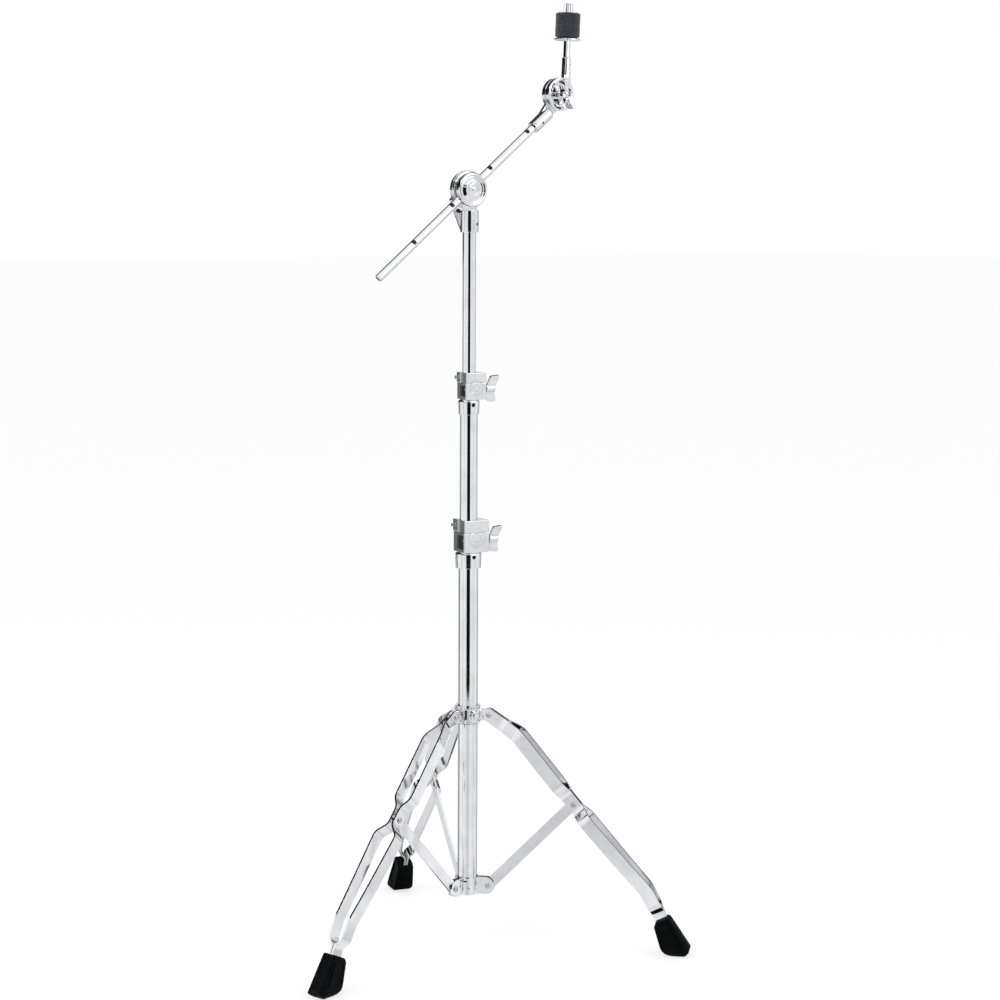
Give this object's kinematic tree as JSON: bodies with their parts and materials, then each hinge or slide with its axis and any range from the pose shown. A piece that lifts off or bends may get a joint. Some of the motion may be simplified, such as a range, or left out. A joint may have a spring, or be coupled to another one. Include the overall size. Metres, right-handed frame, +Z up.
{
  "type": "cymbal boom stand",
  "caption": "Folding double-braced tripod stand with telescoping tubes, a tilting boom arm and a felted cymbal tilter.",
  "frame": {"origin": "on the floor, at the middle of the stand's footprint box as it is set up", "axes": "+Z up along the column, +X the way the boom reaches, +Y to the left of the boom"},
  "size_m": [0.5569, 0.5647, 1.3679],
  "materials": {
    "chrome": "polished chrome plating",
    "steel": "zinc-plated steel, slightly dull",
    "rubber": "moulded black rubber",
    "nylon": "moulded black nylon",
    "felt": "dense charcoal wool felt"
  },
  "bodies": {
    "root": {"base_tube": "chrome", "tube_end_plug": "rubber", "lower_hub_plate_1": "chrome", "lower_hub_plate_2": "chrome", "lower_hub_plate_3": "chrome", "hub_rivet_1": "steel", "hub_rivet_2": "steel", "hub_rivet_3": "steel", "lower_clamp_housing": "chrome", "lower_bushing": "nylon", "lower_draw_bolt": "steel"},
    "brace_1": {"brace_1": "chrome"},
    "leg_1": {"leg_1_strip_a": "chrome", "leg_1_strip_b": "chrome", "rubber_foot_1": "rubber", "brace_rivet_1": "steel"},
    "brace_2": {"brace_2": "chrome"},
    "leg_2": {"leg_2_strip_a": "chrome", "leg_2_strip_b": "chrome", "rubber_foot_2": "rubber", "brace_rivet_2": "steel"},
    "brace_3": {"brace_3": "chrome"},
    "leg_3": {"leg_3_strip_a": "chrome", "leg_3_strip_b": "chrome", "rubber_foot_3": "rubber", "brace_rivet_3": "steel"},
    "collar": {"leg_collar": "chrome", "collar_rivet_1": "steel", "collar_rivet_2": "steel", "collar_rivet_3": "steel"},
    "collar_screw": {"collar_wing_screw": "chrome"},
    "lower_nut": {"lower_wing_nut": "chrome"},
    "lower_lock": {"lower_lock_back": "chrome", "lower_lock_key_screw": "steel"},
    "lower_gate": {"lower_lock_front": "chrome"},
    "middle": {"middle_tube": "chrome"},
    "upper_clamp": {"upper_clamp_housing": "chrome", "upper_bushing": "nylon", "upper_draw_bolt": "steel"},
    "upper_nut": {"upper_wing_nut": "chrome"},
    "upper_lock": {"upper_lock_back": "chrome", "upper_lock_key_screw": "steel"},
    "upper_gate": {"upper_lock_front": "chrome"},
    "upper": {"upper_tube": "chrome"},
    "bracket": {"boom_bracket": "chrome"},
    "clamp": {"boom_clamp_rear": "chrome", "boom_clamp_cap": "chrome", "boom_eye_bolt": "steel"},
    "boom_nut": {"boom_wing_nut": "chrome"},
    "boom": {"boom_rod": "chrome", "tilter_lower_arm": "chrome"},
    "tilter": {"tilter_upper_arm": "chrome", "tilter_bolt": "steel", "cymbal_rod": "chrome", "cup_washer": "chrome", "cymbal_sleeve": "nylon", "lower_felt": "felt", "upper_felt": "felt"},
    "tilter_nut": {"tilter_wing_nut": "chrome"},
    "top_nut": {"cymbal_wing_nut": "chrome"}
  },
  "joints": [
    {"name": "tripod_fold", "type": "hinge", "parent": "root", "child": "brace_1", "pos_m": [0.06436, -0.05792, 0.09], "axis": [-0.7254, -0.6884, 0], "range_deg": [-10, 37]},
    {"name": "leg_1_pivot", "type": "hinge", "parent": "brace_1", "child": "leg_1", "pos_m": [0.14975, -0.14791, 0.21668], "axis": [0.7254, 0.6884, 0], "range_deg": [-20, 74]},
    {"name": "collar_pivot", "type": "hinge", "parent": "leg_1", "child": "collar", "pos_m": [0.06436, -0.05792, 0.34335], "axis": [-0.7254, -0.6884, 0], "range_deg": [-10, 37]},
    {"name": "brace_2_pivot", "type": "hinge", "parent": "root", "child": "brace_2", "pos_m": [0.05162, -0.00487, 0.09], "axis": [0.9588, -0.284, 0], "range_deg": [-10, 37]},
    {"name": "leg_2_pivot", "type": "hinge", "parent": "brace_2", "child": "leg_2", "pos_m": [0.08685, 0.11407, 0.21668], "axis": [-0.9588, 0.284, 0], "range_deg": [-20, 74]},
    {"name": "brace_3_pivot", "type": "hinge", "parent": "root", "child": "brace_3", "pos_m": [0.01205, -0.04243, 0.09], "axis": [-0.2334, 0.9724, 0], "range_deg": [-10, 37]},
    {"name": "leg_3_pivot", "type": "hinge", "parent": "brace_3", "child": "leg_3", "pos_m": [-0.10858, -0.07139, 0.21668], "axis": [0.2334, -0.9724, 0], "range_deg": [-20, 74]},
    {"name": "collar_screw_turn", "type": "hinge", "parent": "collar", "child": "collar_screw", "pos_m": [0.03846, -0.05901, 0.3445], "axis": [-0.1736, -0.9848, 0], "continuous": true},
    {"name": "lower_wing_nut_turn", "type": "hinge", "parent": "root", "child": "lower_nut", "pos_m": [0.06386, -0.05466, 0.59943], "axis": [0.9833, -0.1822, 0], "continuous": true},
    {"name": "lower_lock_slide", "type": "slide", "parent": "root", "child": "lower_lock", "axis": [0, 0, 1], "range_m": [0, 0.14]},
    {"name": "lower_lock_opening", "type": "hinge", "parent": "lower_lock", "child": "lower_gate", "pos_m": [0.02743, -0.03225, 0.6185], "axis": [0, 0, -1], "range_deg": [0, 100]},
    {"name": "middle_tube_slide", "type": "slide", "parent": "root", "child": "middle", "axis": [0, 0, 1], "range_m": [-0.146, 0.15]},
    {"name": "middle_tube_turn", "type": "hinge", "parent": "middle", "child": "upper_clamp", "pos_m": [0.04267, -0.03508, 0.79], "axis": [0, 0, 1], "continuous": true},
    {"name": "upper_wing_nut_turn", "type": "hinge", "parent": "upper_clamp", "child": "upper_nut", "pos_m": [0.06051, -0.05081, 0.8153], "axis": [0.9833, -0.1822, 0], "continuous": true},
    {"name": "upper_lock_slide", "type": "slide", "parent": "upper_clamp", "child": "upper_lock", "axis": [0, 0, 1], "range_m": [0, 0.18]},
    {"name": "upper_lock_opening", "type": "hinge", "parent": "upper_lock", "child": "upper_gate", "pos_m": [0.03078, -0.03287, 0.831], "axis": [0, 0, -1], "range_deg": [0, 100]},
    {"name": "upper_tube_slide", "type": "slide", "parent": "upper_clamp", "child": "upper", "axis": [0, 0, 1], "range_m": [-0.19, 0.11]},
    {"name": "upper_tube_turn", "type": "hinge", "parent": "upper", "child": "bracket", "pos_m": [0.04267, -0.03508, 1.05], "axis": [0, 0, 1], "continuous": true},
    {"name": "boom_tilt", "type": "hinge", "parent": "bracket", "child": "clamp", "pos_m": [0.04267, -0.03508, 1.096], "axis": [0, 1, 0], "range_deg": [-15, 90]},
    {"name": "boom_wing_nut_turn", "type": "hinge", "parent": "clamp", "child": "boom_nut", "pos_m": [0.04267, -0.02198, 1.096], "axis": [0, 1, 0], "continuous": true},
    {"name": "boom_rod_slide", "type": "slide", "parent": "clamp", "child": "boom", "axis": [0.7869, 0, 0.617], "range_m": [-0.11, 0.165]},
    {"name": "cymbal_tilt", "type": "hinge", "parent": "boom", "child": "tilter", "pos_m": [0.20176, -0.03508, 1.23345], "axis": [0, 1, 0], "range_deg": [-75, 60]},
    {"name": "tilter_wing_nut_turn", "type": "hinge", "parent": "tilter", "child": "tilter_nut", "pos_m": [0.20176, -0.04413, 1.23345], "axis": [0, -1, 0], "continuous": true},
    {"name": "cymbal_wing_nut_turn", "type": "hinge", "parent": "tilter", "child": "top_nut", "pos_m": [0.22007, -0.03508, 1.35004], "axis": [0.0454, 0, 0.999], "continuous": true}
  ],
  "couplings": [
    {"joint": "leg_1_pivot", "follows": "tripod_fold", "ratio": 2},
    {"joint": "collar_pivot", "follows": "tripod_fold", "ratio": 1},
    {"joint": "brace_2_pivot", "follows": "tripod_fold", "ratio": 1},
    {"joint": "leg_2_pivot", "follows": "tripod_fold", "ratio": 2},
    {"joint": "brace_3_pivot", "follows": "tripod_fold", "ratio": 1},
    {"joint": "leg_3_pivot", "follows": "tripod_fold", "ratio": 2}
  ]
}
